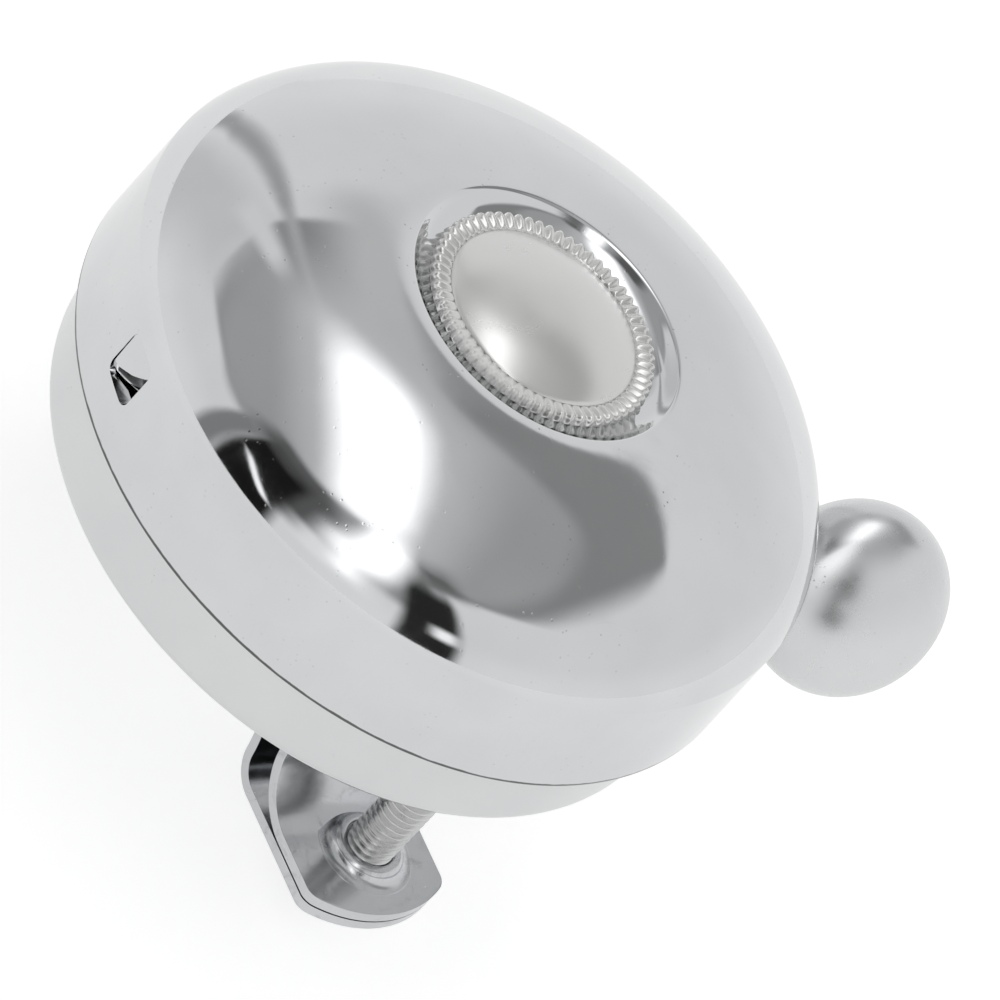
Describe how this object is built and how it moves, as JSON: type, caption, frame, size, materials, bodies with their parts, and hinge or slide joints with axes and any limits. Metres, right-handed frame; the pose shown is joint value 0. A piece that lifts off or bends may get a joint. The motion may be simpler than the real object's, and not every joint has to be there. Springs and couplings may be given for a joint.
{
  "type": "bicycle bell",
  "caption": "Round plated bicycle bell with a domed gong, fluted cap, side thumb lever with round knob, geared striker inside and a two-ear handlebar clamp.",
  "frame": {"origin": "centre of the handlebar seat in the clamp, under the middle of the bell", "axes": "+Z along the bell's axis towards the cap, X along the handlebar, -Y towards the rider"},
  "size_m": [0.076, 0.06, 0.0482],
  "materials": {
    "gong_chrome": "polished, fine pits",
    "cap_nickel": "bright, fluted ring",
    "pan_chrome": "bright, slightly softer than the gong",
    "knob_chrome": "bright, rolled from sheet",
    "lever_steel": "plated, punched edges",
    "clamp_zinc": "bright zinc over pressed steel",
    "screw_zinc": "bright zinc",
    "rivet_steel": "turned",
    "turned_steel": "turned",
    "spring_steel": "oiled spring wire",
    "gear_steel": "machined, light grease",
    "striker_steel": "tumbled"
  },
  "bodies": {
    "bell": {"base_pan": "pan_chrome", "gong": "gong_chrome", "gong_cap": "cap_nickel", "centre_post": "turned_steel", "gong_seat": "turned_steel", "saddle_rivets": "rivet_steel", "clamp_saddle": "clamp_zinc", "lever_pin": "rivet_steel", "lever_washer": "rivet_steel", "spring_post": "rivet_steel", "return_spring": "spring_steel", "idler_stud": "rivet_steel", "idler_washer": "rivet_steel"},
    "clamp": {"clamp_strap": "clamp_zinc", "clamp_screws": "screw_zinc", "clamp_washers": "screw_zinc"},
    "lever": {"thumb_lever": "lever_steel", "thumb_knob": "knob_chrome", "knob_rivet": "lever_steel"},
    "idler": {"idler_pinion": "gear_steel", "idler_gear": "gear_steel"},
    "rotor": {"rotor_pinion": "gear_steel", "flyer_arm": "lever_steel", "striker_pins": "rivet_steel"},
    "disc_a": {"striker_disc_a": "striker_steel"},
    "disc_b": {"striker_disc_b": "striker_steel"}
  },
  "joints": [
    {"name": "lever_press", "type": "hinge", "parent": "bell", "child": "lever", "pos_m": [0.0195, 0, 0], "axis": [0, 0, 1], "range_deg": [0, 38], "stiffness_Nm_per_rad": 0.06, "springref_deg": -34.38, "deforming": ["return_spring"]},
    {"name": "idler_spin", "type": "hinge", "parent": "bell", "child": "idler", "pos_m": [0.00737, 0.0133, 0], "axis": [0, 0, 1], "range_deg": [-133.5, 0.5]},
    {"name": "rotor_spin", "type": "hinge", "parent": "bell", "child": "rotor", "pos_m": [0, 0, 0], "axis": [0, 0, 1], "range_deg": [-0.5, 288.7]},
    {"name": "disc_a_spin", "type": "hinge", "parent": "rotor", "child": "disc_a", "pos_m": [0, 0.018, 0], "axis": [0, 0, 1], "continuous": true},
    {"name": "disc_b_spin", "type": "hinge", "parent": "rotor", "child": "disc_b", "pos_m": [0, -0.018, 0], "axis": [0, 0, 1], "continuous": true},
    {"name": "clamp_open", "type": "slide", "parent": "bell", "child": "clamp", "axis": [0, 0, -1], "range_m": [0, 0.008]}
  ],
  "couplings": [
    {"joint": "idler_spin", "follows": "lever_press", "ratio": -3.5},
    {"joint": "rotor_spin", "follows": "lever_press", "ratio": 7.5833}
  ]
}
